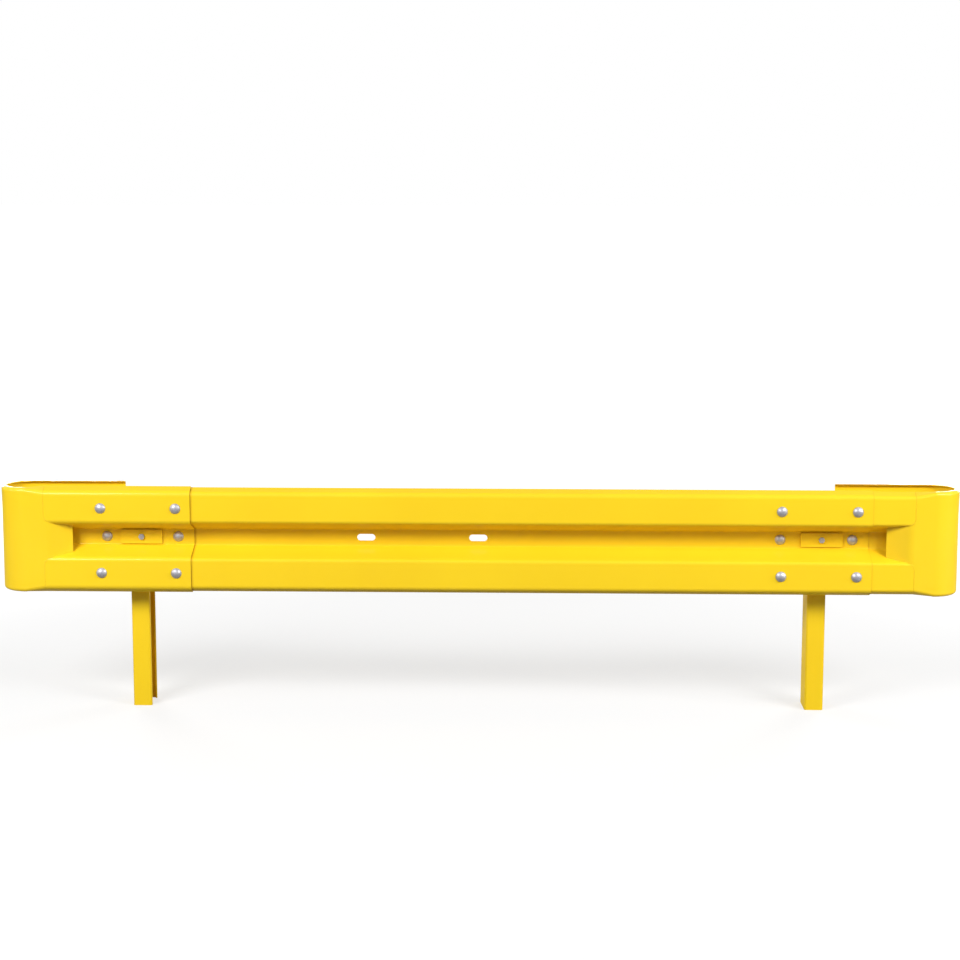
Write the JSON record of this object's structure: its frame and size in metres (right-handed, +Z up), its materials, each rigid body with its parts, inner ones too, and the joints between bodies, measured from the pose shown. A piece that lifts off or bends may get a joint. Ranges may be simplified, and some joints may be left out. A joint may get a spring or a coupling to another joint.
{
  "type": "guard rail",
  "caption": "Yellow painted steel guard rail: a pressed double-crest beam with blunt returned ends, bolted to short channel posts.",
  "frame": {"origin": "on the ground in the middle of the whole part's length and depth, level with the feet of the posts", "axes": "+X along the rail to the right as seen from its front, +Y from the crests to the posts, so the traffic side faces -Y, +Z up"},
  "size_m": [2.834, 0.1964, 0.6789],
  "materials": {
    "yellow_paint": "semi-gloss yellow powder coat over steel",
    "galvanised_steel": "hot-dip galvanised, dull silver"
  },
  "bodies": {
    "root": {"left_bolt_bottom_inner": "galvanised_steel", "left_bolt_bottom_outer": "galvanised_steel", "left_bolt_middle_inner": "galvanised_steel", "left_bolt_middle_outer": "galvanised_steel", "left_bolt_top_inner": "galvanised_steel", "left_bolt_top_outer": "galvanised_steel", "left_cover_plate": "yellow_paint", "left_end_section": "yellow_paint", "left_nose": "yellow_paint", "left_nut_bottom_inner": "galvanised_steel", "left_nut_bottom_outer": "galvanised_steel", "left_nut_middle_inner": "galvanised_steel", "left_nut_middle_outer": "galvanised_steel", "left_nut_top_inner": "galvanised_steel", "left_nut_top_outer": "galvanised_steel", "left_post": "yellow_paint", "left_post_bolt": "galvanised_steel", "left_post_nut": "galvanised_steel", "left_post_washer": "galvanised_steel", "left_trough_closure": "yellow_paint", "left_washer_bottom_inner": "galvanised_steel", "left_washer_bottom_outer": "galvanised_steel", "left_washer_middle_inner": "galvanised_steel", "left_washer_middle_outer": "galvanised_steel", "left_washer_top_inner": "galvanised_steel", "left_washer_top_outer": "galvanised_steel", "plank": "yellow_paint", "right_bolt_bottom_inner": "galvanised_steel", "right_bolt_bottom_outer": "galvanised_steel", "right_bolt_middle_inner": "galvanised_steel", "right_bolt_middle_outer": "galvanised_steel", "right_bolt_top_inner": "galvanised_steel", "right_bolt_top_outer": "galvanised_steel", "right_cover_plate": "yellow_paint", "right_end_section": "yellow_paint", "right_nose": "yellow_paint", "right_nut_bottom_inner": "galvanised_steel", "right_nut_bottom_outer": "galvanised_steel", "right_nut_middle_inner": "galvanised_steel", "right_nut_middle_outer": "galvanised_steel", "right_nut_top_inner": "galvanised_steel", "right_nut_top_outer": "galvanised_steel", "right_post": "yellow_paint", "right_post_bolt": "galvanised_steel", "right_post_nut": "galvanised_steel", "right_post_washer": "galvanised_steel", "right_trough_closure": "yellow_paint", "right_washer_bottom_inner": "galvanised_steel", "right_washer_bottom_outer": "galvanised_steel", "right_washer_middle_inner": "galvanised_steel", "right_washer_middle_outer": "galvanised_steel", "right_washer_top_inner": "galvanised_steel", "right_washer_top_outer": "galvanised_steel"}
  },
  "joints": []
}
